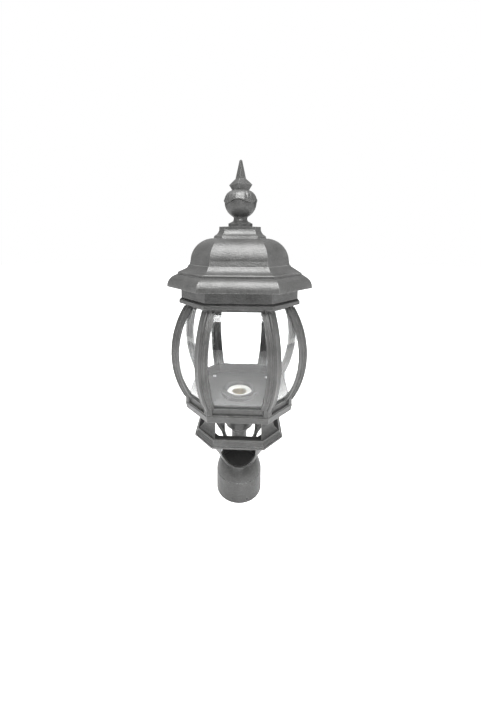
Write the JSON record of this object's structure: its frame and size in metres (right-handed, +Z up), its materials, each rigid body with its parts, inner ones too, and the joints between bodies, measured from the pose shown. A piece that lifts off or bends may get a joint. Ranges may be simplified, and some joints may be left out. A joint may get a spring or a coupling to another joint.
{
  "type": "post top lantern",
  "caption": "Eight-sided post top lantern with curved glass panels, domed roof, leaf finial and an open neck with a round post fitter.",
  "frame": {"origin": "centre of the fitter's bottom rim, which the lantern stands on", "axes": "+Z up along the post, -Y towards the front of the picture, +X to the right"},
  "size_m": [0.243, 0.243, 0.6264],
  "materials": {
    "cast": "cast, painted satin grey",
    "glass": "clear, polished",
    "gasket": "matte",
    "steel": "plated",
    "screws": "darkened",
    "chrome": "polished",
    "porcelain": "glazed",
    "brass": "bright"
  },
  "bodies": {
    "lantern": {"roof_screws": "screws", "cage_top_ring": "cast", "rib_front_left": "cast", "rib_front_right": "cast", "rib_right_front": "cast", "rib_right_rear": "cast", "rib_rear_right": "cast", "rib_rear_left": "cast", "rib_left_rear": "cast", "rib_left_front": "cast", "glass_front": "glass", "glass_right": "glass", "glass_rear": "glass", "glass_left": "glass", "glass_corner_front_left": "glass", "glass_corner_front_right": "glass", "glass_corner_rear_right": "glass", "glass_corner_rear_left": "glass", "rib_top_screws": "screws", "rib_bottom_screws": "screws", "cage_bottom_ring": "cast", "curb_screws": "screws", "tray": "cast", "tray_dome_nuts": "chrome", "tray_studs": "steel", "lamp_cup": "cast", "lampholder_body": "porcelain", "screw_shell": "brass", "centre_contact": "brass", "lampholder_nipple": "steel", "nipple_nuts": "steel", "wire_tube": "cast", "gallery": "cast", "neck_screws": "screws", "post_fitter": "cast"},
    "roof": {"roof": "cast", "roof_gasket": "gasket", "finial_stud": "steel", "finial_washer": "steel", "finial_nut": "steel"},
    "finial": {"finial": "cast"},
    "set_screw_1": {"set_screw_1": "screws"},
    "set_screw_2": {"set_screw_2": "screws"},
    "set_screw_3": {"set_screw_3": "screws"}
  },
  "joints": [
    {"name": "roof_lift", "type": "slide", "parent": "lantern", "child": "roof", "axis": [0, 0, 1], "range_m": [0, 0.08]},
    {"name": "finial_turn", "type": "hinge", "parent": "roof", "child": "finial", "pos_m": [0, 0, 0.503], "axis": [0, 0, 1], "continuous": true},
    {"name": "set_screw_1_travel", "type": "slide", "parent": "lantern", "child": "set_screw_1", "axis": [0.3746, -0.9272, 0], "range_m": [-0.0015, 0.002]},
    {"name": "set_screw_2_travel", "type": "slide", "parent": "lantern", "child": "set_screw_2", "axis": [0.6157, 0.788, 0], "range_m": [-0.0015, 0.002]},
    {"name": "set_screw_3_travel", "type": "slide", "parent": "lantern", "child": "set_screw_3", "axis": [-0.9903, 0.1392, 0], "range_m": [-0.0015, 0.002]}
  ]
}
